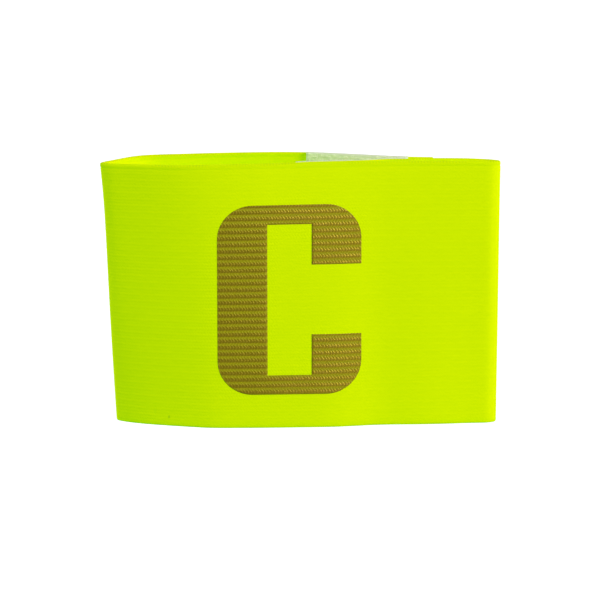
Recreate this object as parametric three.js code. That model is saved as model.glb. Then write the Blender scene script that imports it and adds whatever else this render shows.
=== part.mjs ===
// Captain's armband: one strip of knitted elastic wound into a loop for the upper arm.
// The strip's outer end lies over its inner end at the back. A loop pad on the outer end
// meets a hook pad on the inner end, and the top of the inner end peels away inwards.
// Millimetres, +Z up. The band stands on its lower edge, with the letter towards -Y.
import * as THREE from "three";

// Driving sizes.
const BAND_HEIGHT = 90; // lower edge to upper edge
const WALL = 1.4; // thickness of the elastic
const TOP_WIDTH = 135.4; // fold to fold along the upper edge
const TOP_DEPTH = 27.5; // front to back along the upper edge
const TOP_SETBACK = 3.1; // how far the upper edge stands behind the lower edge at the front
const FOOT_WIDTH = 129.4; // fold to fold along the lower edge
const FOOT_DEPTH = 44; // front to back along the lower edge
const FOOT_SHIFT = 1.8; // how far the lower edge sits to the right of the upper edge
const EDGE_FLARE = 1.2; // strength of the flare towards the upper edge, as in wallLean

const OVERLAP = 48; // length of the inner end that lies inside the outer end
const END_NARROWING = 0.4; // how far the inner end's upper and lower edges are drawn in at its tip
const LOOP_PAD_LENGTH = 35;
const LOOP_PAD_THICKNESS = 0.8;
const HOOK_PAD_LENGTH = 36;
const HOOK_PAD_THICKNESS = 0.8;
const PAD_SETBACK = 9; // from the outer end's tip to the pads
const GAP = 0.3; // between pieces that touch on the real band
const TIP_CLEARANCE = 0.8; // between the inner end's tip and the front wall

const LETTER_HEIGHT = 64.6;
const LETTER_WIDTH = 49;
const LETTER_BASE = 11.5; // above the band's lower edge
const LETTER_STEM = 17;
const LETTER_BAR = 6.6;
const LETTER_TERMINAL = 20.4; // height of the upper and of the lower arm's end
const LETTER_CORNER_WIDTH = 12;
const LETTER_CORNER_HEIGHT = 11.5;
const PRINT_THICKNESS = 0.5;

// The band's outer line seen from above, anticlockwise from the outer end's tip.
// Across is a share of half the width, back a share of the depth, for each edge.
const BENDS = [
  { at: "outer tip", topAcross: 0.665, topBack: 0.612, footAcross: 0.64, footBack: 0.655 },
  { at: "back right", topAcross: 0.49, topBack: 0.66, footAcross: 0.455, footBack: 0.82 },
  { at: "back right of middle", topAcross: 0.25, topBack: 0.825, footAcross: 0.21, footBack: 0.95 },
  { at: "back middle", topAcross: -0.015, topBack: 0.975, footAcross: -0.05, footBack: 1 },
  { at: "back left of middle", topAcross: -0.28, topBack: 0.955, footAcross: -0.3, footBack: 0.96 },
  { at: "back left", topAcross: -0.58, topBack: 0.855, footAcross: -0.59, footBack: 0.8 },
  { at: "rear of the left fold", topAcross: -0.81, topBack: 0.725, footAcross: -0.815, footBack: 0.61 },
  { at: "behind the left fold", topAcross: -0.935, topBack: 0.425, footAcross: -0.955, footBack: 0.42 },
  { at: "left fold", topAcross: -1, topBack: 0.2, footAcross: -1, footBack: 0.275 },
  { at: "front of the left fold", topAcross: -0.965, topBack: 0.125, footAcross: -0.965, footBack: 0.218 },
  { at: "front far left", topAcross: -0.86, topBack: 0.075, footAcross: -0.86, footBack: 0.14 },
  { at: "front left", topAcross: -0.72, topBack: 0.02, footAcross: -0.765, footBack: 0.095 },
  { at: "before the bend", topAcross: -0.58, topBack: 0, footAcross: -0.625, footBack: 0.04 },
  { at: "soft bend", topAcross: -0.455, topBack: 0.016, footAcross: -0.5, footBack: 0.0 },
  { at: "letter's stem", topAcross: -0.25, topBack: 0.07, footAcross: -0.286, footBack: 0.0 },
  { at: "letter's middle", topAcross: -0.055, topBack: 0.145, footAcross: -0.085, footBack: 0.013 },
  { at: "letter's end", topAcross: 0.175, topBack: 0.22, footAcross: 0.155, footBack: 0.036 },
  { at: "right of the letter", topAcross: 0.395, topBack: 0.272, footAcross: 0.39, footBack: 0.103 },
  { at: "front right", topAcross: 0.62, topBack: 0.298, footAcross: 0.63, footBack: 0.12 },
  { at: "front far right", topAcross: 0.86, topBack: 0.29, footAcross: 0.86, footBack: 0.16 },
  { at: "front of the right fold", topAcross: 0.965, topBack: 0.298, footAcross: 0.968, footBack: 0.18 },
  { at: "right fold", topAcross: 1, topBack: 0.355, footAcross: 1.004, footBack: 0.225 },
  { at: "rear of the right fold", topAcross: 0.965, topBack: 0.445, footAcross: 0.975, footBack: 0.345 },
  { at: "back far right", topAcross: 0.84, topBack: 0.558, footAcross: 0.86, footBack: 0.49 },
];

// How far the strip runs inside the outer line. Along is a share of the overlap, from the
// outer end's tip. Lies names the layer that it rests against, and peel goes from 0 there to
// 1 at the front wall, for each edge.
const CLOSURE = [
  { along: -0.55, lies: "on the line", topPeel: 0, footPeel: 0 },
  { along: -0.02, lies: "under the tip", topPeel: 0, footPeel: 0 },
  { along: 0.03, lies: "under the tip", topPeel: 0, footPeel: 0 },
  { along: 0.16, lies: "on the pads", topPeel: 0, footPeel: 0 },
  { along: 0.26, lies: "on the pads", topPeel: 0, footPeel: 0 },
  { along: 0.35, lies: "on the pads", topPeel: 0.38, footPeel: 0 },
  { along: 0.43, lies: "on the pads", topPeel: 0.9, footPeel: 0 },
  { along: 0.55, lies: "on the pads", topPeel: 0.98, footPeel: 0.01 },
  { along: 0.65, lies: "on the pads", topPeel: 1, footPeel: 0.04 },
  { along: 0.82, lies: "on the pads", topPeel: 1, footPeel: 0.1 },
  { along: 1, lies: "on the pads", topPeel: 1, footPeel: 0.17 },
];

const STEPS_PER_BEND = 40;
const ROOM_STEPS = 24; // places along the overlap where the room across the band is measured
const SLOPE_STEP = 0.4; // millimetres to either side over which a direction is taken
const LEAST_TURN = 3.2; // degrees of bend per column
const LONGEST_STEP = 3.6; // millimetres per column
const CLOSURE_SOFTNESS = 0.06; // share of the overlap over which the closure's corners are eased
const COLUMN_HEIGHT = 0.75; // height share at which the bend is judged
const BAND_ROWS = 8;
const PAD_ROWS = 8;
const CORNER_STEPS = 5;

const shares = (from, to, count) =>
  Array.from({ length: count + 1 }, (_, i) => from + ((to - from) * i) / count);

// The two edges of the outer line, as closed curves through the table's bends.
const edge = (across, back) =>
  new THREE.CatmullRomCurve3(
    BENDS.map((bend) => new THREE.Vector3(across(bend), back(bend), 0)),
    true,
    "centripetal",
  );
const topEdge = edge(
  (bend) => (bend.topAcross * TOP_WIDTH) / 2,
  (bend) => TOP_SETBACK + bend.topBack * TOP_DEPTH,
);
const footEdge = edge(
  (bend) => FOOT_SHIFT + (bend.footAcross * FOOT_WIDTH) / 2,
  (bend) => bend.footBack * FOOT_DEPTH,
);

// How far the wall at height share h has gone from the lower edge's line to the upper edge's.
// It lags behind in the upper part and flares out at the edge.
const wallLean = (h) => h - EDGE_FLARE * h ** 4 * (1 - h);

// The outer line at turn (0 to 1 round the table) and height share h.
function outerLine(turn, h) {
  const t = turn - Math.floor(turn);
  return footEdge.getPoint(t).lerp(topEdge.getPoint(t), wallLean(h));
}

// Distance round the band at middle height, for each of many equal turns.
const TURNS = BENDS.length * STEPS_PER_BEND;
const travelled = [0];
for (let i = 1; i <= TURNS; i++)
  travelled.push(travelled[i - 1] + outerLine(i / TURNS, 0.5).distanceTo(outerLine((i - 1) / TURNS, 0.5)));
const LOOP_LENGTH = travelled[TURNS];

function turnAt(distance) {
  const laps = Math.floor(distance / LOOP_LENGTH);
  const rest = distance - laps * LOOP_LENGTH;
  let i = travelled.findIndex((d) => d > rest);
  if (i < 1) i = TURNS;
  return laps + (i - 1 + (rest - travelled[i - 1]) / (travelled[i] - travelled[i - 1])) / TURNS;
}
const distanceTo = (at) => travelled[BENDS.findIndex((bend) => bend.at === at) * STEPS_PER_BEND];

const outwards = (before, after) => {
  const along = after.clone().sub(before).normalize();
  return new THREE.Vector3(along.y, -along.x, 0);
};

// A column of the closure table, read in straight lines from row to row.
function readClosure(share, value) {
  if (share <= CLOSURE[0].along) return value(CLOSURE[0]);
  for (let i = 1; i < CLOSURE.length; i++) {
    const a = CLOSURE[i - 1];
    const b = CLOSURE[i];
    if (share > b.along) continue;
    const t = (share - a.along) / (b.along - a.along);
    return THREE.MathUtils.lerp(value(a), value(b), t);
  }
  return value(CLOSURE[CLOSURE.length - 1]);
}

// Inset of the strip for each layer that it can rest against.
const INSETS = {
  "on the line": 0,
  "under the tip": WALL + GAP,
  "on the pads": WALL + LOOP_PAD_THICKNESS + HOOK_PAD_THICKNESS + 3 * GAP,
};

// The least room between a place on the back's outer line and the front's.
function roomAcross(distance, h) {
  const back = outerLine(turnAt(distance), h);
  const first = distanceTo("front of the left fold");
  const last = distanceTo("front of the right fold");
  let room = Infinity;
  for (let d = first; d <= last; d += SLOPE_STEP) room = Math.min(room, back.distanceTo(outerLine(turnAt(d), h)));
  return room;
}
// The room that is left for the peel along the overlap, for one edge.
const peelRooms = (h) =>
  shares(0, 1, ROOM_STEPS).map(
    (share) => roomAcross(share * OVERLAP, h) - INSETS["on the pads"] - 2 * WALL - TIP_CLEARANCE,
  );
const TOP_PEEL_ROOMS = peelRooms(1);
const FOOT_PEEL_ROOMS = peelRooms(0);
function readRoom(rooms, share) {
  const at = THREE.MathUtils.clamp(share, 0, 1) * ROOM_STEPS;
  const i = Math.min(Math.floor(at), ROOM_STEPS - 1);
  return THREE.MathUtils.lerp(rooms[i], rooms[i + 1], at - i);
}

// The table's corners are softened by a mean over nearby places.
function inset(distance, h) {
  const share = (distance - LOOP_LENGTH) / OVERLAP;
  const spread = shares(-CLOSURE_SOFTNESS, CLOSURE_SOFTNESS, 8);
  let sum = 0;
  for (const offset of spread) {
    const at = share + offset;
    const topPeel = readClosure(at, (row) => row.topPeel) * readRoom(TOP_PEEL_ROOMS, at);
    const footPeel = readClosure(at, (row) => row.footPeel) * readRoom(FOOT_PEEL_ROOMS, at);
    sum += readClosure(at, (row) => INSETS[row.lies]) + THREE.MathUtils.lerp(footPeel, topPeel, h);
  }
  return sum / spread.length;
}

// The strip's own outer line, which winds inside the outer line after one lap.
function stripLine(distance, h) {
  const before = outerLine(turnAt(distance - SLOPE_STEP), h);
  const after = outerLine(turnAt(distance + SLOPE_STEP), h);
  return outerLine(turnAt(distance), h).addScaledVector(outwards(before, after), -inset(distance, h));
}

// A point by distance along the strip, height share, and depth below the strip's outer face.
function onStrip(distance, h, depth) {
  const out = outwards(stripLine(distance - SLOPE_STEP, h), stripLine(distance + SLOPE_STEP, h));
  const point = stripLine(distance, h).addScaledVector(out, -depth);
  const share = THREE.MathUtils.clamp((distance - LOOP_LENGTH) / OVERLAP, 0, 1);
  const drawnIn = END_NARROWING * share;
  point.z = THREE.MathUtils.lerp(drawnIn, BAND_HEIGHT - drawnIn, h);
  return point;
}

// Distances for the columns between two ends, closer where the strip bends.
function bendColumns(from, to) {
  const list = [from];
  let turned = 0;
  const heading = (d) => {
    const a = stripLine(d - SLOPE_STEP, COLUMN_HEIGHT);
    const b = stripLine(d + SLOPE_STEP, COLUMN_HEIGHT);
    return Math.atan2(b.y - a.y, b.x - a.x);
  };
  for (let d = from; d < to - SLOPE_STEP; d += SLOPE_STEP) {
    let turn = Math.abs(heading(d + SLOPE_STEP) - heading(d));
    if (turn > Math.PI) turn = 2 * Math.PI - turn;
    turned += THREE.MathUtils.radToDeg(turn);
    if (turned > LEAST_TURN || d - list[list.length - 1] > LONGEST_STEP) {
      list.push(d);
      turned = 0;
    }
  }
  if (to - list[list.length - 1] < SLOPE_STEP && list.length > 1) list.pop();
  list.push(to);
  return list;
}

// A closed slab over a grid. The point function takes column, row and side (0 outer, 1 inner),
// and the filled function says which cells hold material.
function slab(columnCount, rowCount, point, filled = () => true) {
  const positions = [];
  const index = [];
  const seen = new Map();
  const vertex = (i, j, side) => {
    const key = (i * (rowCount + 1) + j) * 2 + side;
    if (!seen.has(key)) {
      seen.set(key, positions.length / 3);
      const p = point(i, j, side);
      positions.push(p.x, p.y, p.z);
    }
    return seen.get(key);
  };
  const inside = (i, j) => i >= 0 && j >= 0 && i < columnCount && j < rowCount && filled(i, j);
  for (let i = 0; i < columnCount; i++)
    for (let j = 0; j < rowCount; j++) {
      if (!inside(i, j)) continue;
      const ring = [[i, j], [i + 1, j], [i + 1, j + 1], [i, j + 1]];
      const outer = ring.map(([a, b]) => vertex(a, b, 0));
      const inner = ring.map(([a, b]) => vertex(a, b, 1));
      index.push(outer[0], outer[1], outer[2], outer[0], outer[2], outer[3]);
      index.push(inner[0], inner[2], inner[1], inner[0], inner[3], inner[2]);
      const beside = [[i, j - 1], [i + 1, j], [i, j + 1], [i - 1, j]];
      beside.forEach(([a, b], k) => {
        if (inside(a, b)) return;
        const next = (k + 1) % 4;
        index.push(outer[next], outer[k], inner[k], outer[next], inner[k], inner[next]);
      });
    }
  const geometry = new THREE.BufferGeometry();
  geometry.setAttribute("position", new THREE.Float32BufferAttribute(positions, 3));
  geometry.setIndex(index);
  geometry.computeVertexNormals();
  return geometry;
}

const STRIP_COLUMNS = bendColumns(0, LOOP_LENGTH + OVERLAP);

// A piece of the strip's full height, between two distances and two depths. Its columns are
// the strip's own, so that layers on one another bend alike.
function patch(from, to, rows, outerDepth, innerDepth) {
  const between = STRIP_COLUMNS.filter((d) => d > from + SLOPE_STEP && d < to - SLOPE_STEP);
  const along = [from, ...between, to];
  const heights = shares(0, 1, rows);
  return slab(along.length - 1, rows, (i, j, side) =>
    onStrip(along[i], heights[j], side ? innerDepth : outerDepth),
  );
}

const bandGeometry = patch(0, LOOP_LENGTH + OVERLAP, BAND_ROWS, 0, WALL);
const loopPadGeometry = patch(
  PAD_SETBACK,
  PAD_SETBACK + LOOP_PAD_LENGTH,
  PAD_ROWS,
  WALL + GAP,
  WALL + GAP + LOOP_PAD_THICKNESS,
);
const hookPadGeometry = patch(
  LOOP_LENGTH + PAD_SETBACK,
  LOOP_LENGTH + PAD_SETBACK + HOOK_PAD_LENGTH,
  PAD_ROWS,
  -GAP - HOOK_PAD_THICKNESS,
  -GAP,
);

// The letter: a block C with rounded outer corners, as a grid whose end rows follow its outline.
function letter() {
  const right = LETTER_WIDTH - LETTER_STEM;
  const corner = shares(0, Math.PI / 2, CORNER_STEPS).map((a) => LETTER_CORNER_WIDTH * (1 - Math.cos(a)));
  const xs = [
    ...corner,
    ...shares(LETTER_CORNER_WIDTH, LETTER_STEM, 3).slice(1),
    ...shares(LETTER_STEM, right, 5).slice(1),
    ...shares(right, LETTER_WIDTH - LETTER_CORNER_WIDTH, 3).slice(1),
    ...corner.reverse().slice(1).map((x) => LETTER_WIDTH - x),
  ];
  const levels = [
    ...shares(0, LETTER_BAR, 2),
    ...shares(LETTER_BAR, LETTER_TERMINAL, 3).slice(1),
    ...shares(LETTER_TERMINAL, LETTER_HEIGHT - LETTER_TERMINAL, 4).slice(1),
    ...shares(LETTER_HEIGHT - LETTER_TERMINAL, LETTER_HEIGHT - LETTER_BAR, 3).slice(1),
    ...shares(LETTER_HEIGHT - LETTER_BAR, LETTER_HEIGHT, 2).slice(1),
  ];
  // How much the rounded corners take off the outline's top and bottom at x.
  const rounding = (x) => {
    const near = Math.min(x, LETTER_WIDTH - x);
    const t = THREE.MathUtils.clamp(1 - near / LETTER_CORNER_WIDTH, 0, 1);
    return LETTER_CORNER_HEIGHT * (1 - Math.sqrt(1 - t * t));
  };
  const middle = distanceTo("letter's middle");
  const point = (i, j, side) => {
    const x = xs[i];
    // The arms' levels are drawn together at the corners, and the rest stays level.
    const fromEdge = Math.min(levels[j], LETTER_HEIGHT - levels[j]);
    const cut = rounding(x) * Math.max(0, 1 - fromEdge / LETTER_TERMINAL);
    const z = LETTER_BASE + levels[j] + (levels[j] < LETTER_HEIGHT / 2 ? cut : -cut);
    const depth = side ? -GAP : -GAP - PRINT_THICKNESS;
    return onStrip(middle + x - LETTER_WIDTH / 2, z / BAND_HEIGHT, depth);
  };
  const filled = (i, j) => {
    const x = (xs[i] + xs[i + 1]) / 2;
    const z = (levels[j] + levels[j + 1]) / 2;
    if (x < LETTER_STEM) return true;
    const reach = x > right ? LETTER_TERMINAL : LETTER_BAR;
    return z < reach || z > LETTER_HEIGHT - reach;
  };
  return slab(xs.length - 1, levels.length - 1, point, filled);
}
const letterGeometry = letter();

// The frame's origin is the middle of the band's footprint.
bandGeometry.computeBoundingBox();
const middle = bandGeometry.boundingBox.getCenter(new THREE.Vector3());

const group = new THREE.Group();
function add(name, geometry, color, roughness) {
  const material = new THREE.MeshStandardMaterial({ color, roughness, metalness: 0 });
  const mesh = new THREE.Mesh(geometry.translate(-middle.x, -middle.y, 0), material);
  mesh.name = name;
  group.add(mesh);
}
add("elastic_band", bandGeometry, 0xccec05, 0.8);
add("loop_pad", loopPadGeometry, 0xe6ebd6, 0.95);
add("hook_pad", hookPadGeometry, 0xe0e6cc, 0.7);
add("captain_letter", letterGeometry, 0x8c7f22, 0.5);

export default group;
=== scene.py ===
"""Looks of the captain's armband: ribbed neon elastic, a printed letter, and a hook-and-loop fastening.

The band is one strip. A place on it is given by its distance along the strip from the outer end's tip,
its height above the lower edge, and its depth below the strip's outer face. All three are in
millimetres, and slab and on_place turn them into points in metres.
"""

import math

import bpy
import numpy as np
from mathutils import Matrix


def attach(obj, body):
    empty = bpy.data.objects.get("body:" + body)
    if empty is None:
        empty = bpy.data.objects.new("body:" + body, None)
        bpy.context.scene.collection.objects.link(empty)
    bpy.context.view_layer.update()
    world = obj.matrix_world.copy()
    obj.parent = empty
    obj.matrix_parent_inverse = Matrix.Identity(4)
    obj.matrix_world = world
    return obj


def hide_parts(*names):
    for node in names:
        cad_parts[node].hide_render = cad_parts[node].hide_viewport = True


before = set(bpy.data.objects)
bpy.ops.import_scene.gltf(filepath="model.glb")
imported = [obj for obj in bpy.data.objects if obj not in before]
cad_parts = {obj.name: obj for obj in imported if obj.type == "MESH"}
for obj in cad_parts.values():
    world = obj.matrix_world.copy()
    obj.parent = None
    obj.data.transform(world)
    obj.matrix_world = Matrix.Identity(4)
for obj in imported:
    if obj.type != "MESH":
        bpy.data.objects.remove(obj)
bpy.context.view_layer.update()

# Sizes of the band in millimetres
MM = 0.001
BAND_HEIGHT = 90.0
WALL = 1.4
TOP_WIDTH, TOP_DEPTH, TOP_SETBACK = 135.4, 27.5, 3.1
FOOT_WIDTH, FOOT_DEPTH, FOOT_SHIFT = 129.4, 44.0, 1.8
EDGE_FLARE = 1.2  # gathers the change from the foot's outline to the top's near the upper edge
OVERLAP = 48.0
END_NARROWING = 0.4  # how far the inner end's two edges draw in at its tip
CLOSURE_SOFTNESS = 0.06  # how far to each side the closure's bends are softened, in overlaps
TIP_CLEARANCE = 0.8  # between the peeled inner end and the front wall
GAP = 0.3  # between pieces that are sewn or pressed together
CENTRE = (-0.009, 21.894)  # middle of the band's footprint, which is the frame's origin
STEPS_PER_BEND = 40
FINE_STEP = 0.4  # along the strip, for slopes and for the room in front of the inner end

# Sizes of the knit
RIB_PITCH = 2.19
RIB_TOP = 45.2  # height of one rib's crest
RIB_DEPTH = 0.055
RIDGE_SHARE = 0.55  # share of the relief at half the pitch, which puts a low ridge between two ribs
ROWS_PER_RIB = 6
SELVAGE, SELVAGE_SLOPE = 1.9, 0.35  # width of the flat rim along both edges, and of its slope
SELVAGE_DEPTH, SELVAGE_WAVE = 0.1, 0.05
FOOT_SELVAGE = 0.3  # relief of the lower selvage, as a share of the upper one's
STITCH = 1.03  # one knitted stitch along a rib
RIM_RADIUS, RIM_CUT = 0.6, 0.93  # rounding of the rims: its reach, and how much is cut there
END_RADIUS, END_CUT = 0.5, 0.9  # the same for the strip's two ends
END_COLUMNS = np.array([0, 0.15, 0.35])  # columns of the mesh across a rounded end
END_REACH = 0.6  # where the other columns begin
UV_UNIT = 100.0  # millimetres for one unit of the UV map

# Sizes of the letter
LETTER_HEIGHT, LETTER_WIDTH, LETTER_BASE = 64.6, 49.0, 11.5
LETTER_STEM, LETTER_BAR, LETTER_TERMINAL = 17.0, 6.6, 20.4
LETTER_CORNER = (12.0, 11.5)  # width and height of its rounded corners
LETTER_STEP = 0.7  # between columns of its mesh
PRINT_LIFT, PRINT_ROOT = 0.05, 0.06  # how far the print stands on the cloth and reaches into it

# Sizes of the fastening
PAD_THICKNESS = 0.8
LOOP_PAD_LENGTH, HOOK_PAD_LENGTH = 35.0, 36.0
PAD_SETBACK = 9.0  # from the outer tip to the start of either pad
LOOP_TOP = BAND_HEIGHT + 0.3  # the loop pad stands a little over the cloth's rim
LOOP_FACE = WALL + GAP + PAD_THICKNESS  # depth of the loop pad's inner face
HOOK_FACE = -GAP - PAD_THICKNESS  # depth of the hook pad's outer face
ON_PADS = WALL + 2 * PAD_THICKNESS + 3 * GAP  # depth of the inner end's face behind both pads
TAPE_ROOT = 0.03  # how far a tape reaches into the cloth that carries it
TAPE_STEP, TAPE_ROWS = 0.9, 120  # columns and rows of a tape's mesh
TAPE_SINK = 0.42  # from a pad's face to the floor of its pile
WEAVE = 0.03
RIM_RISE, RIM_SLOPE = 0.12, 0.4  # height of the flat rim over that floor, and width of its slope
RIM_SINK = TAPE_SINK - RIM_RISE
LOOP_MARGIN, HOOK_MARGIN = 0.55, 2.2  # width of the flat rim round the loops and round the hooks
PILE_HEIGHT = TAPE_SINK + 0.02
LOOP_COUNT = 4200
LOOP_REACH = (0.3, 0.5)  # from a loop's middle to its feet, least and most
LOOP_SKEW, LOOP_ROOT = 0.2, 0.06  # how far a loop's top leans over, and how deep its feet stand
LOOP_RADIUS = 0.07
HOOK_COLUMN, HOOK_ROW = 1.5, 1.7  # between hooks along and across the strip
HOOK_INSET = 0.6  # from the flat rim to the first hook
HOOK_STRAY = 0.05  # how far hooks stray from their places
HOOK_BOW = np.array([[0.0, -0.02, 0.06, 0.24, 0.38]])  # how far a hook leans over, root to tip
HOOK_RISE = np.array([[-0.05, 0.7, 0.96, 1.0, 0.78]])  # how high it stands, in pile heights
HOOK_RADII = (0.13, 0.11, 0.1, 0.09, 0.06)
SEAM_MARGIN, SEAM_PITCH = 1.1, 2.7
SEAM_SPACE = 0.1  # share of the pitch that is left free at each end of a stitch
SEAM_BOW, SEAM_SINK = 0.2, 0.08  # how far a stitch bows up, and how deep its ends lie
SEAM_ON_CLOTH = 0.05  # depth of a seam that lies on the ribs
SEAM_RADII = (0.1, 0.17, 0.19, 0.17, 0.1)

# The band's outer line from above, as shares of half the width and of the depth.
# Columns: top across, top back, foot across, foot back.
BENDS = {
    "outer tip": (0.665, 0.612, 0.64, 0.655),
    "back right": (0.49, 0.66, 0.455, 0.82),
    "back right of middle": (0.25, 0.825, 0.21, 0.95),
    "back middle": (-0.015, 0.975, -0.05, 1.0),
    "back left of middle": (-0.28, 0.955, -0.3, 0.96),
    "back left": (-0.58, 0.855, -0.59, 0.8),
    "rear of the left fold": (-0.81, 0.725, -0.815, 0.61),
    "behind the left fold": (-0.935, 0.425, -0.955, 0.42),
    "left fold": (-1.0, 0.2, -1.0, 0.275),
    "front of the left fold": (-0.965, 0.125, -0.965, 0.218),
    "front far left": (-0.86, 0.075, -0.86, 0.14),
    "front left": (-0.72, 0.02, -0.765, 0.095),
    "before the bend": (-0.58, 0.0, -0.625, 0.04),
    "soft bend": (-0.455, 0.016, -0.5, 0.0),
    "letter's stem": (-0.25, 0.07, -0.286, 0.0),
    "letter's middle": (-0.055, 0.145, -0.085, 0.013),
    "letter's end": (0.175, 0.22, 0.155, 0.036),
    "right of the letter": (0.395, 0.272, 0.39, 0.103),
    "front right": (0.62, 0.298, 0.63, 0.12),
    "front far right": (0.86, 0.29, 0.86, 0.16),
    "front of the right fold": (0.965, 0.298, 0.968, 0.18),
    "right fold": (1.0, 0.355, 1.004, 0.225),
    "rear of the right fold": (0.965, 0.445, 0.975, 0.345),
    "back far right": (0.84, 0.558, 0.86, 0.49),
}
# The inner end inside the outer line. Columns: share of the overlap, layer that it rests on (0 the
# line, 1 under the outer tip, 2 on the pads), and peel at the top and at the foot. A peel is a share
# of the room between the pads and the front wall.
CLOSURE = np.array([
    (-0.55, 0, 0.0, 0.0),
    (-0.02, 1, 0.0, 0.0),
    (0.03, 1, 0.0, 0.0),
    (0.16, 2, 0.0, 0.0),
    (0.26, 2, 0.0, 0.0),
    (0.35, 2, 0.38, 0.0),
    (0.43, 2, 0.9, 0.0),
    (0.55, 2, 0.98, 0.01),
    (0.65, 2, 1.0, 0.04),
    (0.82, 2, 1.0, 0.1),
    (1.0, 2, 1.0, 0.17),
])
LAYER_DEPTHS = np.array([0, WALL + GAP, ON_PADS])[CLOSURE[:, 1].astype(int)]


# The strip's path
def closed_curve(points, turn):
    """Centripetal Catmull-Rom curve through the points, closed; turn is 0 to 1 round it."""
    k = len(points)
    p = (turn - np.floor(turn)) * k
    i = np.floor(p).astype(int) % k
    w = (p - np.floor(p))[..., None]
    p0, p1, p2, p3 = (points[(i + o) % k] for o in (-1, 0, 1, 2))
    spans = ((p0, p1), (p1, p2), (p2, p3))
    d0, d1, d2 = (np.sqrt(np.linalg.norm(b - a, axis=-1))[..., None] for a, b in spans)
    t1 = ((p1 - p0) / d0 - (p2 - p0) / (d0 + d1) + (p2 - p1) / d1) * d1
    t2 = ((p2 - p1) / d1 - (p3 - p1) / (d1 + d2) + (p3 - p2) / d2) * d1
    return p1 + t1 * w + (-3 * p1 + 3 * p2 - 2 * t1 - t2) * w**2 + (2 * p1 - 2 * p2 + t1 + t2) * w**3


table = np.array(list(BENDS.values()))
TOP_EDGE = np.stack([table[:, 0] * TOP_WIDTH / 2, TOP_SETBACK + table[:, 1] * TOP_DEPTH], -1)
FOOT_EDGE = np.stack([FOOT_SHIFT + table[:, 2] * FOOT_WIDTH / 2, table[:, 3] * FOOT_DEPTH], -1)


def outer_line(turn, h):
    """The outer line at turns (n) and height shares (m, or n by m), as n by m points in plan."""
    h = np.atleast_2d(h)[..., None]
    lean = h - EDGE_FLARE * h**4 * (1 - h)
    foot = closed_curve(FOOT_EDGE, turn)[:, None]
    return foot + (closed_curve(TOP_EDGE, turn)[:, None] - foot) * lean


TURNS = np.linspace(0, 1, len(BENDS) * STEPS_PER_BEND + 1)
middle_line = outer_line(TURNS, np.array([0.5]))[:, 0]
TRAVELLED = np.concatenate([[0], np.cumsum(np.linalg.norm(np.diff(middle_line, axis=0), axis=1))])
LOOP = TRAVELLED[-1]
HOOK_START = LOOP + PAD_SETBACK


def turn_at(distance):
    """Turn round the loop at a distance along the strip; the second lap goes on from 1."""
    laps = np.floor(distance / LOOP)
    return laps + np.interp(distance - laps * LOOP, TRAVELLED, TURNS)


def distance_to(bend):
    """Distance along the strip to a bend of the table."""
    return TRAVELLED[list(BENDS).index(bend) * STEPS_PER_BEND]


def peel_rooms(h):
    """How far the inner end can move from the pads to the front wall, along the overlap."""
    back = outer_line(turn_at(ROOM_SHARES * OVERLAP), np.array([h]))[:, 0]
    ends = (distance_to("front of the left fold"), distance_to("front of the right fold"))
    front = outer_line(turn_at(np.arange(*ends, FINE_STEP)), np.array([h]))[:, 0]
    across = np.linalg.norm(front[None] - back[:, None], axis=2).min(1)
    return across - ON_PADS - 2 * WALL - TIP_CLEARANCE


ROOM_SHARES = np.linspace(0, 1, 25)
TOP_ROOMS, FOOT_ROOMS = peel_rooms(1.0), peel_rooms(0.0)


def inset(distance, h):
    """How far the strip runs inside the outer line, with the table's corners softened."""
    offsets = np.linspace(-CLOSURE_SOFTNESS, CLOSURE_SOFTNESS, 9)
    total = 0
    for at in (distance - LOOP) / OVERLAP + offsets[:, None]:
        lies = np.interp(at, CLOSURE[:, 0], LAYER_DEPTHS)
        top = np.interp(at, CLOSURE[:, 0], CLOSURE[:, 2]) * np.interp(at, ROOM_SHARES, TOP_ROOMS)
        foot = np.interp(at, CLOSURE[:, 0], CLOSURE[:, 3]) * np.interp(at, ROOM_SHARES, FOOT_ROOMS)
        total = total + lies[:, None] + foot[:, None] + (top - foot)[:, None] * np.atleast_2d(h)
    return total / len(offsets)


def outwards(before, after):
    """Unit vectors in plan, square to the way from one point to the next and out of the loop."""
    along = after - before
    along /= np.linalg.norm(along, axis=-1, keepdims=True)
    return np.stack([along[..., 1], -along[..., 0]], -1)


def strip_line(distance, h):
    """The strip's outer face at distances (n) and height shares (m), in plan."""
    around = [outer_line(turn_at(distance + o), h) for o in (-FINE_STEP, 0, FINE_STEP)]
    return around[1] - outwards(around[0], around[2]) * inset(distance, h)[..., None]


def on_strip(distance, height, depth):
    """Points at distances (n), heights (m) and depths (n by m) below the outer face, in millimetres."""
    h = np.clip(height / BAND_HEIGHT, 0, 1)
    out = outwards(strip_line(distance - FINE_STEP, h), strip_line(distance + FINE_STEP, h))
    plan = strip_line(distance, h) - out * depth[..., None]
    drawn_in = END_NARROWING * np.clip((distance - LOOP) / OVERLAP, 0, 1)[:, None]
    z = drawn_in + (BAND_HEIGHT - 2 * drawn_in) * np.atleast_2d(height) / BAND_HEIGHT
    return np.concatenate([plan - np.array(CENTRE), z[..., None]], -1)


def on_place(d, v, depth):
    """Points in metres for arrays of distances, heights and depths."""
    d, v, depth = np.broadcast_arrays(d, v, depth)
    return MM * on_strip(d.ravel(), v.reshape(-1, 1), depth.reshape(-1, 1)).reshape(*d.shape, 3)


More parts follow.
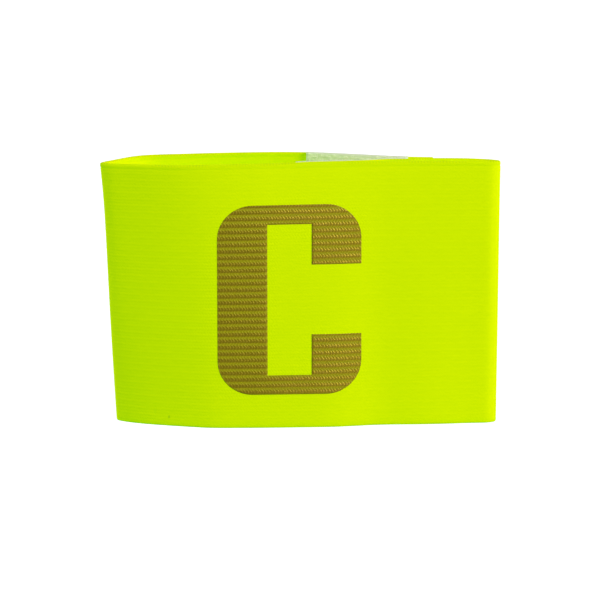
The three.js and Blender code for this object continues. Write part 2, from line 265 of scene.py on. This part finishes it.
def columns(start, end, turn=4.2, longest=5.0, h=0.75):
    """Distances between two ends, at most so many degrees of turn and so many millimetres apart.

    The turn is read at one height share.
    """
    d = np.arange(start, end, FINE_STEP)
    line = strip_line(np.append(d, end), np.array([h]))[:, 0]
    heading = np.unwrap(np.arctan2(np.diff(line[:, 1]), np.diff(line[:, 0])))
    cost = np.abs(np.gradient(heading)) / math.radians(turn) + FINE_STEP / longest
    cost = np.concatenate([[0], np.cumsum(cost)])
    count = int(np.ceil(cost[-1]))
    return np.interp(np.linspace(0, cost[-1], count + 1), cost, np.append(d, end))


# Meshes from arrays
def slab(name, distance, height, outer, inner, filled=None):
    """A closed thin piece on the strip between two depths, over a grid of distances and heights.

    Filled says which cells hold material. The UV map "knit" holds distance and height, and the
    attribute "outside" is 1 on the outer face and 0 on the inner one.
    """
    n, m = outer.shape
    filled = np.ones((n - 1, m - 1), bool) if filled is None else filled
    points = np.concatenate([on_strip(distance, height, outer), on_strip(distance, height, inner)])
    points = points.reshape(-1, 3) * MM
    at = np.arange(n * m).reshape(n, m)
    a, b, c, d = at[:-1, :-1], at[1:, :-1], at[1:, 1:], at[:-1, 1:]
    under = n * m
    padded = np.pad(filled, 1)
    quads = [np.stack([a, b, c, d], -1)[filled], np.stack([d, c, b, a], -1)[filled] + under]
    beside = (
        (padded[1:-1, :-2], a, b),
        (padded[2:, 1:-1], b, c),
        (padded[1:-1, 2:], c, d),
        (padded[:-2, 1:-1], d, a),
    )
    for neighbour, p, q in beside:
        open_side = filled & ~neighbour
        p, q = p[open_side], q[open_side]
        quads.append(np.stack([q, p, p + under, q + under], -1))
    places = np.broadcast_arrays(distance[:, None], np.atleast_2d(height))
    uv = np.stack(places, -1).reshape(-1, 2) / UV_UNIT
    outside = np.repeat([1.0, 0.0], n * m)
    return mesh_piece(name, points, np.concatenate(quads), np.concatenate([uv, uv]), outside)


def mesh_piece(name, points, faces, uv=None, outside=None, smooth=True):
    """An object at the origin from points in metres and from faces that all have as many sides."""
    sides = faces.shape[1]
    used, faces = np.unique(faces, return_inverse=True)
    faces = faces.reshape(-1, sides)
    mesh = bpy.data.meshes.new(name)
    mesh.vertices.add(len(used))
    mesh.vertices.foreach_set("co", points[used].astype(np.float32).ravel())
    mesh.loops.add(faces.size)
    mesh.loops.foreach_set("vertex_index", faces.astype(np.int32).ravel())
    mesh.polygons.add(len(faces))
    mesh.polygons.foreach_set("loop_start", np.arange(0, faces.size, sides, dtype=np.int32))
    mesh.polygons.foreach_set("loop_total", np.full(len(faces), sides, np.int32))
    mesh.update(calc_edges=True)
    if uv is not None:
        layer = mesh.uv_layers.new(name="knit")
        layer.data.foreach_set("uv", uv[used][faces.ravel()].astype(np.float32).ravel())
    if outside is not None:
        layer = mesh.attributes.new("outside", "FLOAT", "POINT")
        layer.data.foreach_set("value", outside[used].astype(np.float32))
    mesh.polygons.foreach_set("use_smooth", np.full(len(faces), smooth))
    mesh.validate()
    piece = bpy.data.objects.new(name, mesh)
    bpy.context.collection.objects.link(piece)
    return piece


def tubes(name, paths, radii):
    """Closed four-sided tubes along bowed paths (k by p points), with a radius for each of the p rings.

    One side of each tube looks square out of the plane that its path is bowed in.
    """
    k, p = paths.shape[:2]
    along = np.gradient(paths, axis=1)
    along /= np.linalg.norm(along, axis=2, keepdims=True)
    across = np.cross(paths[:, 1] - paths[:, 0], paths[:, -1] - paths[:, 0])
    across = (across / np.linalg.norm(across, axis=1, keepdims=True))[:, None]
    up = np.cross(along, across)
    across = np.broadcast_to(across, up.shape)
    corners = np.stack([across, up, -across, -up], 2)
    points = paths[:, :, None] + np.asarray(radii)[None, :, None, None] * MM * corners
    at = np.arange(k * p * 4).reshape(k, p, 4)
    beside = np.roll(at, -1, axis=2)
    walls = np.stack([at[:, :-1], beside[:, :-1], beside[:, 1:], at[:, 1:]], -1)
    faces = [walls.reshape(-1, 4), at[:, 0, ::-1], at[:, -1]]
    return mesh_piece(name, points.reshape(-1, 3), np.concatenate(faces))


# The elastic
def rib_relief(distance, height):
    """Depth of the ribbed face below its crests, for distances (n) by heights (m).

    A rib is a cosine, and a lower ridge divides the groove between two ribs, a little unevenly along
    the strip. The selvages along both edges are flat, the lower one flatter, and the rims are rounded.
    """
    d, v = distance[:, None], np.atleast_2d(height)
    wander = 0.06 * np.sin(d / 17.0 + 0.9 * np.sin(v / 9.0)) + 0.04 * np.sin(d / 6.1 + v / 5.0)
    phase = 2 * np.pi * (v + wander - RIB_TOP) / RIB_PITCH
    uneven = 1 + 0.15 * np.sin(d / 23.0 + v * 0.7) * np.sin(v * 1.9)
    groove = 0.5 - 0.5 * np.cos(phase)
    both = 0.5 - 0.5 * np.cos(2 * phase)
    ribs = RIB_DEPTH * uneven * ((1 - RIDGE_SHARE) * groove + RIDGE_SHARE * both)
    edge = np.minimum(v, BAND_HEIGHT - v)
    selvage = np.clip((SELVAGE - edge) / SELVAGE_SLOPE + 0.5, 0, 1)
    selvage = selvage * selvage * (3 - 2 * selvage)
    flat = SELVAGE_DEPTH + SELVAGE_WAVE * np.cos(np.clip(edge / SELVAGE, 0, 1) * 2 * np.pi)
    flat = np.where(v > BAND_HEIGHT / 2, flat, FOOT_SELVAGE * flat)
    relief = ribs * (1 - selvage) + flat * selvage
    rim = np.clip(1 - edge / RIM_RADIUS, 0, 1)
    half = WALL / 2 - relief
    return relief + half * (1 - np.sqrt(1 - RIM_CUT * rim**2))


def mesh_heights():
    """Heights of the mesh's rows: close together at the rims, and so many to a rib between them."""
    rim = RIM_RADIUS * (1 - np.cos(np.linspace(0, np.pi / 2, 6)))
    rows = np.arange(-250, 250) * RIB_PITCH / ROWS_PER_RIB + RIB_TOP  # reaches past both edges
    rows = rows[(rows > RIM_RADIUS + 0.1) & (rows < BAND_HEIGHT - RIM_RADIUS - 0.1)]
    return np.concatenate([rim, rows, BAND_HEIGHT - rim[::-1]])


def make_band():
    """The whole strip, ribbed on both faces and rounded at both ends."""
    total = LOOP + OVERLAP
    between = columns(END_REACH, total - END_REACH)
    d = np.concatenate([END_COLUMNS, between, total - END_COLUMNS[::-1]])
    relief = rib_relief(d, HEIGHTS)
    t = np.clip(1 - np.minimum(d, total - d) / END_RADIUS, 0, 1)
    left = np.sqrt(1 - END_CUT * t**2)[:, None]
    outer = WALL / 2 - (WALL / 2 - relief) * left
    return slab("elastic_cloth", d, HEIGHTS, outer, WALL - outer)


# The letter
def make_letter():
    """A block C of even strokes, printed on the ribbed face.

    It is a grid of columns and levels. Where the outer corners are rounded, the levels of the arms
    are drawn together towards their inner edges.
    """
    wide, high = LETTER_WIDTH, LETTER_HEIGHT
    rx, rz = LETTER_CORNER
    step, spare = LETTER_STEP, 0.3  # no column comes nearer to the next edge than spare
    terminal = wide - LETTER_STEM
    turn = rx * (1 - np.cos(np.linspace(0, np.pi / 2, 16)))
    x = np.concatenate([
        turn,
        np.arange(rx + step, LETTER_STEM - spare, step),
        [LETTER_STEM],
        np.arange(LETTER_STEM + step, terminal - spare, step),
        [terminal],
        np.arange(terminal + step, wide - rx - spare, step),
        wide - turn[::-1],
    ])
    level = HEIGHTS[(HEIGHTS > LETTER_BASE - 0.2) & (HEIGHTS < LETTER_BASE + high + 0.2)] - LETTER_BASE
    for key in (0, LETTER_BAR, LETTER_TERMINAL, high - LETTER_TERMINAL, high - LETTER_BAR, high):
        level[np.abs(level - key).argmin()] = key
    near = np.minimum(x, wide - x)
    cut = rz * (1 - np.sqrt(1 - np.clip(1 - near / rx, 0, 1) ** 2))
    from_edge = np.minimum(level, high - level)
    drawn = cut[:, None] * np.clip(1 - from_edge / LETTER_TERMINAL, 0, 1)[None, :]
    v = LETTER_BASE + level + np.where(level < high / 2, drawn, -drawn)
    middle_x, middle_level = ((x[1:] + x[:-1]) / 2)[:, None], ((level[1:] + level[:-1]) / 2)[None, :]
    reach = np.where(middle_x > terminal, LETTER_TERMINAL, LETTER_BAR)
    filled = (middle_x < LETTER_STEM) | (np.minimum(middle_level, high - middle_level) < reach)
    d = distance_to("letter's middle") + x - wide / 2
    relief = rib_relief(d, v)
    return slab("letter_print", d, v, relief - PRINT_LIFT, relief + PRINT_ROOT, filled)


# The fastening
def make_tape(name, start, length, outer_depth, inner_depth, pile_inside, margin, top):
    """A pad's woven tape between two depths, with the floor of its pile sunk between flat rims.

    The pile's side is a little wavy both ways, as woven tape is.
    """
    d = np.linspace(start, start + length, int(length / TAPE_STEP) + 1)
    v = np.linspace(0, top, TAPE_ROWS)
    from_end = np.minimum(d - d[0], d[-1] - d)[:, None]
    from_rim = np.minimum(v - v[0], v[-1] - v)[None, :]
    weave = WEAVE * np.sin(d * 5.1)[:, None] * np.sin(v * 4.3)[None, :]
    rim = np.clip((margin - np.minimum(from_end, from_rim)) / RIM_SLOPE, 0, 1)
    drop = TAPE_SINK - RIM_RISE * rim + weave
    plain = np.zeros(drop.shape)
    outer = outer_depth + (plain if pile_inside else drop)
    inner = inner_depth - (drop if pile_inside else plain)
    return slab(name, d, v, outer, inner)


def make_loops():
    """Loops of yarn that lean all ways on the loop pad's tape, about as high as the pad's face."""
    rng = np.random.default_rng(7)
    each = (LOOP_COUNT, 1)
    d = PAD_SETBACK + rng.uniform(LOOP_MARGIN, LOOP_PAD_LENGTH - LOOP_MARGIN, each)
    v = rng.uniform(LOOP_MARGIN, LOOP_TOP - LOOP_MARGIN, each)
    lean, size = rng.uniform(0, 2 * np.pi, each), rng.uniform(*LOOP_REACH, each)
    t = np.linspace(0, np.pi, 6)[None, :]
    reach = size * -np.cos(t) + LOOP_SKEW * np.sin(t)
    rise = PILE_HEIGHT * np.sin(t) * rng.uniform(0.75, 1.0, each) - LOOP_ROOT
    paths = on_place(d + reach * np.cos(lean), v + reach * np.sin(lean), LOOP_FACE - TAPE_SINK + rise)
    return tubes("loops", paths, [LOOP_RADIUS] * t.size)


def make_hooks():
    """Rows of small plastic hooks on the hook tape, leaning up and down in turn."""
    rng = np.random.default_rng(11)
    first = HOOK_MARGIN + HOOK_INSET
    rows = np.arange(first, HOOK_PAD_LENGTH - HOOK_MARGIN, HOOK_COLUMN)
    levels = np.arange(first, BAND_HEIGHT - HOOK_MARGIN, HOOK_ROW)
    d, v = (grid.reshape(-1, 1) for grid in np.meshgrid(HOOK_START + rows, levels, indexing="ij"))
    way = np.where(np.arange(len(rows))[:, None] % 2, 1.0, -1.0) * np.ones(len(levels))
    d, v = d + rng.normal(0, HOOK_STRAY, d.shape), v + rng.normal(0, HOOK_STRAY, v.shape)
    depth = HOOK_FACE + TAPE_SINK - HOOK_RISE * PILE_HEIGHT
    paths = on_place(d, v + way.reshape(-1, 1) * HOOK_BOW, depth)
    return tubes("hooks", paths, HOOK_RADII)


def make_seam(name, start, length, depth, inwards):
    """Stitches in a rectangle near a pad's edges, lying on a face at a depth."""
    d0, d1 = start + SEAM_MARGIN, start + length - SEAM_MARGIN
    v0, v1 = SEAM_MARGIN, BAND_HEIGHT - SEAM_MARGIN
    corners = np.array([(d0, v0), (d1, v0), (d1, v1), (d0, v1)])
    ends = []
    for a, b in zip(corners, np.roll(corners, -1, axis=0)):
        count = int(np.linalg.norm(b - a) / SEAM_PITCH)
        step = (b - a) / count
        first = a + step * np.arange(count)[:, None]
        ends.append(np.stack([first + SEAM_SPACE * step, first + (1 - SEAM_SPACE) * step], 1))
    ends = np.concatenate(ends)
    t = np.linspace(0, 1, len(SEAM_RADII))[None, :]
    d, v = (ends[:, :1, i] + (ends[:, 1:, i] - ends[:, :1, i]) * t for i in (0, 1))
    rise = SEAM_BOW * np.sqrt(np.sin(np.pi * t)) - SEAM_SINK
    return tubes(name, on_place(d, v, depth + (rise if inwards else -rise)), SEAM_RADII)


HEIGHTS = mesh_heights()
band = make_band()
letter = make_letter()
loop_pad = make_tape(
    "loop_tape", PAD_SETBACK, LOOP_PAD_LENGTH, WALL - TAPE_ROOT, LOOP_FACE,
    pile_inside=True, margin=LOOP_MARGIN, top=LOOP_TOP,
)
hook_pad = make_tape(
    "hook_tape", HOOK_START, HOOK_PAD_LENGTH, HOOK_FACE, TAPE_ROOT,
    pile_inside=False, margin=HOOK_MARGIN, top=BAND_HEIGHT,
)
loops, hooks = make_loops(), make_hooks()
seams = [
    make_seam("seam_on_outer_end", PAD_SETBACK, LOOP_PAD_LENGTH, SEAM_ON_CLOTH, inwards=False),
    make_seam("seam_on_loops", PAD_SETBACK, LOOP_PAD_LENGTH, LOOP_FACE - TAPE_SINK, inwards=True),
    make_seam("seam_on_hooks", HOOK_START, HOOK_PAD_LENGTH, HOOK_FACE + RIM_SINK, inwards=False),
    make_seam("seam_on_inner_end", HOOK_START, HOOK_PAD_LENGTH, WALL - SEAM_ON_CLOTH, inwards=True),
]


# Shader nodes
class Tree:
    """Short names for making and linking shader nodes."""

    def __init__(self, tree):
        self.tree = tree

    def node(self, kind, **settings):
        made = self.tree.nodes.new(kind)
        for key, value in settings.items():
            setattr(made, key, value)
        return made

    def feed(self, socket, value):
        """Link a socket to an input, or set the input to a value."""
        if isinstance(value, bpy.types.NodeSocket):
            self.tree.links.new(value, socket)
        else:
            socket.default_value = value

    def fill(self, node, values):
        for name, value in values.items():
            self.feed(node.inputs[name], value)

    def math(self, operation, *values):
        made = self.node("ShaderNodeMath", operation=operation)
        for socket, value in zip(made.inputs, values):
            self.feed(socket, value)
        return made.outputs[0]

    def mix(self, share, a, b):
        """The colour a, or b where the share is 1."""
        made = self.node("ShaderNodeMix", data_type="RGBA")
        for index, value in ((0, share), (6, a), (7, b)):
            self.feed(made.inputs[index], value)
        return made.outputs[2]

    def wave(self, value):
        """Half a cosine of a value counted in turns, from 0 to 1."""
        turn = self.math("MULTIPLY", value, 2 * math.pi)
        return self.math("MULTIPLY_ADD", self.math("COSINE", turn), 0.5, 0.5)

    def between(self, value, low, high):
        """A smooth step from 0 at the low value to 1 at the high one."""
        made = self.node("ShaderNodeMapRange", interpolation_type="SMOOTHSTEP")
        for socket, number in zip(made.inputs, (value, low, high, 0.0, 1.0)):
            self.feed(socket, number)
        return made.outputs[0]

    def noise(self, vector, scale, detail=2.0, rough=0.5):
        made = self.node("ShaderNodeTexNoise")
        self.fill(made, {"Vector": vector, "Scale": scale, "Detail": detail, "Roughness": rough})
        return made.outputs["Fac"]

    def vector(self, x, y):
        made = self.node("ShaderNodeCombineXYZ")
        self.fill(made, {"X": x, "Y": y})
        return made.outputs[0]

    def chance(self, value, dimensions):
        """A number from 0 to 1 that jumps from one value to the next."""
        made = self.node("ShaderNodeTexWhiteNoise", noise_dimensions=dimensions)
        self.feed(made.inputs["W" if dimensions == "1D" else "Vector"], value)
        return made.outputs["Value"]


def knit_group():
    """The knit by place on the strip, for the elastic and for the print on it.

    It puts out the crests of the ribs, and of the ribs with the small ridges between them; the slanted
    stitches, which make a V on each rib, and their fine threads; the flat selvages and the small teeth
    on the rims; an unevenness of the cloth, a chance number for each stitch, and the place itself.
    """
    tree = bpy.data.node_groups.new("knit", "ShaderNodeTree")
    t = Tree(tree)
    split = t.node("ShaderNodeSeparateXYZ")
    t.feed(split.inputs[0], t.node("ShaderNodeUVMap", uv_map="knit").outputs[0])
    u = t.math("MULTIPLY", split.outputs[0], UV_UNIT)
    v = t.math("MULTIPLY", split.outputs[1], UV_UNIT)
    wander = t.noise(t.vector(t.math("MULTIPLY", u, 0.05), t.math("MULTIPLY", v, 0.2)), 1.0)
    v_moved = t.math("MULTIPLY_ADD", t.math("SUBTRACT", wander, 0.5), 0.35, v)
    row = t.math("DIVIDE", t.math("SUBTRACT", v_moved, RIB_TOP), RIB_PITCH)
    nearest = t.math("ROUND", row)
    beside = t.math("ABSOLUTE", t.math("SUBTRACT", row, nearest))
    column = t.math("MULTIPLY_ADD", beside, 1.5, t.math("DIVIDE", u, STITCH))
    column = t.math("ADD", column, t.chance(nearest, "1D"))
    column = t.math("MULTIPLY_ADD", t.noise(t.vector(u, nearest), 0.6), 0.8, column)
    half_rows = t.math("MULTIPLY", row, 2.0)
    edge = t.math("MINIMUM", v, t.math("SUBTRACT", BAND_HEIGHT, v))
    rim = t.math("SUBTRACT", 1.0, t.between(edge, 0.4, 0.9))
    patchy = t.between(t.noise(t.vector(t.math("MULTIPLY", u, 0.08), v), 1.0), 0.42, 0.6)
    made = {
        "rib": t.wave(row),
        "ridge": t.wave(half_rows),
        "stitch": t.wave(column),
        "thread": t.wave(t.math("MULTIPLY_ADD", beside, 4.0, t.math("MULTIPLY", u, 2.7))),
        "selvage": t.math("SUBTRACT", 1.0, t.between(edge, SELVAGE - 0.3, SELVAGE + 0.2)),
        "teeth": t.math("MULTIPLY", t.math("MULTIPLY", rim, patchy), t.wave(t.math("DIVIDE", u, STITCH))),
        "uneven": t.noise(t.vector(u, v), 0.35, 4.0, 0.65),
        "chance": t.chance(t.vector(t.math("ROUND", column), t.math("ROUND", half_rows)), "2D"),
        "along": u,
        "up": v,
    }
    for label in made:
        tree.interface.new_socket(label, in_out="OUTPUT", socket_type="NodeSocketFloat")
    t.fill(t.node("NodeGroupOutput"), made)
    return tree


KNIT = knit_group()


def material(name):
    """A new material with one plain shader: its name, its tree and the shader."""
    made = bpy.data.materials.new(name)
    made.use_nodes = True
    made.node_tree.nodes.clear()
    t = Tree(made.node_tree)
    shader = t.node("ShaderNodeBsdfPrincipled")
    t.feed(t.node("ShaderNodeOutputMaterial").inputs["Surface"], shader.outputs[0])
    return made, t, shader


def knit(t):
    return t.node("ShaderNodeGroup", node_tree=KNIT).outputs


def bump(t, shader, height, distance):
    """Bump by a height, of which 1 stands for a distance in metres."""
    made = t.node("ShaderNodeBump")
    t.fill(made, {"Strength": 1.0, "Distance": distance, "Height": height})
    t.feed(shader.inputs["Normal"], made.outputs[0])


def opaque(color, tone=1.0):
    """A colour with full alpha, made darker by a tone under 1."""
    return tuple(tone * c for c in color) + (1,)


# Small brown specks near the lower rim, left of the letter. Columns: distance along the strip,
# height, radius, strength.
STAINS = (
    (distance_to("front left") - 2.0, 5.1, 0.9, 0.1),
    (distance_to("front left") + 3.2, 3.2, 0.5, 0.5),
)


def stains(t, k):
    """Mask of the specks, each an upright oval that fades out at its rim."""
    masks = []
    for place, height, radius, strength in STAINS:
        across = t.math("DIVIDE", t.math("SUBTRACT", k["along"], place), radius)
        up = t.math("DIVIDE", t.math("SUBTRACT", k["up"], height), radius * 1.6)
        far = t.math("ADD", t.math("MULTIPLY", across, across), t.math("MULTIPLY", up, up))
        masks.append(t.math("MULTIPLY", t.math("SUBTRACT", 1.0, t.between(far, 0.2, 1.0)), strength))
    return t.math("MAXIMUM", *masks)


def elastic_material():
    """Fluorescent knit with a painted glow: a constant emission stands in for the dye's fluorescence."""
    made, t, shader = material("neon_elastic")
    k = knit(t)
    color = t.mix(k["rib"], (0.95, 0.735, 0.0, 1), (0.96, 0.74, 0.0, 1))
    color = t.mix(t.math("MULTIPLY", k["stitch"], 0.06), color, (0.88, 0.70, 0.0, 1))
    color = t.mix(t.math("MULTIPLY", k["selvage"], 0.35), color, (0.82, 0.67, 0.0, 1))
    marks = t.math("MAXIMUM", t.math("MULTIPLY", k["teeth"], 0.3), stains(t, k))
    outside = t.node("ShaderNodeAttribute", attribute_name="outside").outputs["Fac"]
    # Painted glow: on the inner face it is less green but a little red, and stands in for light that
    # comes through the thin cloth into the shaded loop.
    glow = t.mix(outside, (0.08, 0.74, 0.0, 1), (0.0, 1.0, 0.0, 1))
    t.fill(shader, {
        "Base Color": t.mix(marks, color, (0.55, 0.40, 0.01, 1)),
        "Roughness": 0.75,
        "Specular IOR Level": 0.12,
        "Specular Tint": (0.8, 1.0, 0.0, 1),
        "Sheen Weight": 0.1,
        "Sheen Tint": (0.8, 1.0, 0.0, 1),
        "Emission Color": t.mix(marks, glow, (0.0, 0.62, 0.0, 1)),
        "Emission Strength": 0.36,
    })
    height = t.math("ADD", t.math("MULTIPLY", k["stitch"], 0.45), t.math("MULTIPLY", k["thread"], 0.2))
    height = t.math("MULTIPLY_ADD", k["uneven"], 0.5, height)
    height = t.math("MULTIPLY_ADD", k["ridge"], 0.5, height)
    bump(t, shader, height, 0.00004)
    return made


def print_material():
    """Gold ink on the rib crests, thin in the grooves where the neon cloth shows through.

    Lighter crests on the arms are a painted highlight, and the browner grooves there are thicker ink.
    """
    made, t, shader = material("gold_print")
    k = knit(t)
    stem_end = distance_to("letter's middle") - LETTER_WIDTH / 2 + LETTER_STEM
    arms = t.between(k["along"], stem_end - 5.0, stem_end + 12.0)
    # Painted highlight: the crests turn lighter towards the arms, which the key light on the right
    # catches more. The browner grooves there are thicker ink.
    crest = t.mix(arms, (0.385, 0.295, 0.009, 1), (0.493, 0.36, 0.017, 1))
    groove = t.mix(arms, (0.505, 0.49, 0.006, 1), (0.49, 0.465, 0.008, 1))
    covered = t.between(t.math("MULTIPLY_ADD", k["uneven"], 0.35, k["rib"]), 0.25, 0.85)
    color = t.mix(covered, groove, crest)
    color = t.mix(t.math("MULTIPLY", k["stitch"], 0.2), color, (0.27, 0.19, 0.01, 1))
    # Painted highlights: single stitch tops on the crests are mixed towards a pale gold, more strongly on
    # the arms.
    top = t.math("MULTIPLY", t.between(k["rib"], 0.8, 0.97), t.between(k["stitch"], 0.2, 0.9))
    painted_glint = t.math("MULTIPLY", k["chance"], t.math("MULTIPLY_ADD", arms, 0.11, 0.05))
    t.fill(shader, {
        "Base Color": t.mix(t.math("MULTIPLY", top, painted_glint), color, (1.0, 0.66, 0.24, 1)),
        "Metallic": t.math("MULTIPLY", covered, 0.3),
        "Roughness": 0.38,
        "Specular Tint": (1.0, 0.8, 0.3, 1),
    })
    height = t.math("ADD", t.math("MULTIPLY", k["stitch"], 0.7), t.math("MULTIPLY", k["thread"], 0.3))
    bump(t, shader, height, 0.00008)
    return made


def pad_material(name, color, rough):
    """Pale tape under a fine pile, with a painted glow that stands in for the elastic's light on it."""
    made, t, shader = material(name)
    pile = t.noise(t.node("ShaderNodeTexCoord").outputs["Object"], 1800.0, 3.0, 0.7)
    t.fill(shader, {
        "Base Color": t.mix(pile, opaque(color, 0.88), opaque(color)),
        "Roughness": rough,
        "Sheen Weight": 0.3,
        # Painted glow: a faint constant emission for the neon light that the elastic throws on the tape.
        # It also lightens the shade among the pile.
        "Emission Color": (0.75, 1.0, 0.42, 1),
        "Emission Strength": 0.15,
    })
    bump(t, shader, pile, 0.0003)
    return made


def yarn_material(name, color, rough, glow):
    """Thread or pile yarn, a little uneven in tone, with a painted glow of the given colour."""
    made, t, shader = material(name)
    tone = t.noise(t.node("ShaderNodeTexCoord").outputs["Object"], 700.0, 2.0, 0.6)
    t.fill(shader, {
        "Base Color": t.mix(tone, opaque(color, 0.85), opaque(color)),
        "Roughness": rough,
        "Sheen Weight": 0.2,
        "Emission Color": opaque(glow),
        "Emission Strength": 1.0,
    })
    return made


# Materials, and what each piece stands for
for piece, made, node, slot in (
    (band, elastic_material(), "elastic_band", "elastic"),
    (letter, print_material(), "captain_letter", "print"),
    # The pads' yellow-green cream is partly their own colour and partly a painted reflection of the neon
    # elastic.
    (loop_pad, pad_material("loop_pile", (0.91, 0.94, 0.76), 0.95), "loop_pad", "loop_pile"),
    (hook_pad, pad_material("hook_tape", (0.91, 0.94, 0.74), 0.7), "hook_pad", "hooks"),
):
    piece.data.materials.append(made)
    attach(piece, "root")
    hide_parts(node)

# Painted glow: each glow colour is a constant emission. On the neon thread it stands in for the
# fluorescence. On the pale thread, the loops and the hooks it stands in for the neon light that the
# elastic throws on them, and it lightens the shade among the pile. Their yellow-green tone is partly
# their own colour and partly a painted reflection of the neon.
neon_thread = yarn_material("neon_thread", (0.93, 0.74, 0.0), 0.5, (0.0, 0.3, 0.0))
pale_thread = yarn_material("pale_thread", (0.92, 0.95, 0.74), 0.5, (0.12, 0.16, 0.06))
pale_yarn = yarn_material("pale_yarn", (0.93, 0.95, 0.78), 0.9, (0.13, 0.165, 0.075))
hook_plastic = yarn_material("hook_plastic", (0.93, 0.96, 0.76), 0.35, (0.12, 0.16, 0.065))
threads = (neon_thread, pale_thread, pale_thread, neon_thread)
for piece, made in [(loops, pale_yarn), (hooks, hook_plastic), *zip(seams, threads)]:
    piece.data.materials.append(made)
    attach(piece, "root")

# Floor, world, lights and camera, in metres
FLOOR_REACH = 6.0
SEEN_WHITE = 0.95  # added brightness of the floor and of the world, for the camera alone
WORLD_LIGHT = 0.05
LIGHT_SIZE = 0.52
LIGHTS = {  # place and power
    "key": ((1.12, -0.81, 0.71), 16.5),
    "left": ((-1.34, -0.02, 0.7), 9.4),
    "back": ((0.75, 1.15, 0.6), 6.0),
}
CAMERA_PLACE = (-0.00017, -1.38027, 0.33324)
CAMERA_ELEVATION = math.radians(12)
CAMERA_LENS = 247.2


def seen_by_camera(t):
    return t.node("ShaderNodeLightPath").outputs["Is Camera Ray"]


def make_floor():
    """A pale floor that shows white to the camera."""
    points = FLOOR_REACH * np.array([(-1, -1, 0), (1, -1, 0), (1, 1, 0), (-1, 1, 0)], float)
    floor = mesh_piece("floor", points, np.array([[0, 1, 2, 3]]), smooth=False)
    made, t, shader = material("pale_floor")
    t.fill(shader, {
        "Base Color": (0.5, 0.5, 0.5, 1),
        "Roughness": 0.9,
        "Emission Color": (1, 1, 1, 1),
        "Emission Strength": t.math("MULTIPLY", seen_by_camera(t), SEEN_WHITE),
    })
    floor.data.materials.append(made)


def make_world():
    """A world that shows white to the camera and lights the band faintly."""
    world = bpy.data.worlds.new("studio")
    world.use_nodes = True
    world.node_tree.nodes.clear()
    t = Tree(world.node_tree)
    back = t.node("ShaderNodeBackground")
    strength = t.math("MULTIPLY_ADD", seen_by_camera(t), SEEN_WHITE, WORLD_LIGHT)
    t.fill(back, {"Color": (1, 1, 1, 1), "Strength": strength})
    t.feed(t.node("ShaderNodeOutputWorld").inputs["Surface"], back.outputs[0])
    bpy.context.scene.world = world


def area_light(name, place, power):
    """A soft square light that faces the middle of the band."""
    light = bpy.data.lights.new(name, "AREA")
    light.shape, light.size, light.energy = "SQUARE", LIGHT_SIZE, power
    lamp = bpy.data.objects.new(name, light)
    x, y, z = place
    lamp.location = place
    lamp.rotation_euler = (math.atan2(math.hypot(x, y), z - BAND_HEIGHT * MM / 2), 0, math.atan2(x, -y))
    bpy.context.collection.objects.link(lamp)


def make_camera():
    """A long lens 12 degrees above the horizon, in front of the letter."""
    camera = bpy.data.cameras.new("camera")
    camera.sensor_width = 36
    camera.lens = CAMERA_LENS
    camera.clip_end = 50
    view = bpy.data.objects.new("camera", camera)
    view.location = CAMERA_PLACE
    view.rotation_euler = (math.pi / 2 - CAMERA_ELEVATION, 0, 0)
    bpy.context.collection.objects.link(view)
    bpy.context.scene.camera = view


make_floor()
make_world()
for label, (place, power) in LIGHTS.items():
    area_light(label, place, power)
make_camera()
bpy.context.scene.view_settings.view_transform = "Standard"
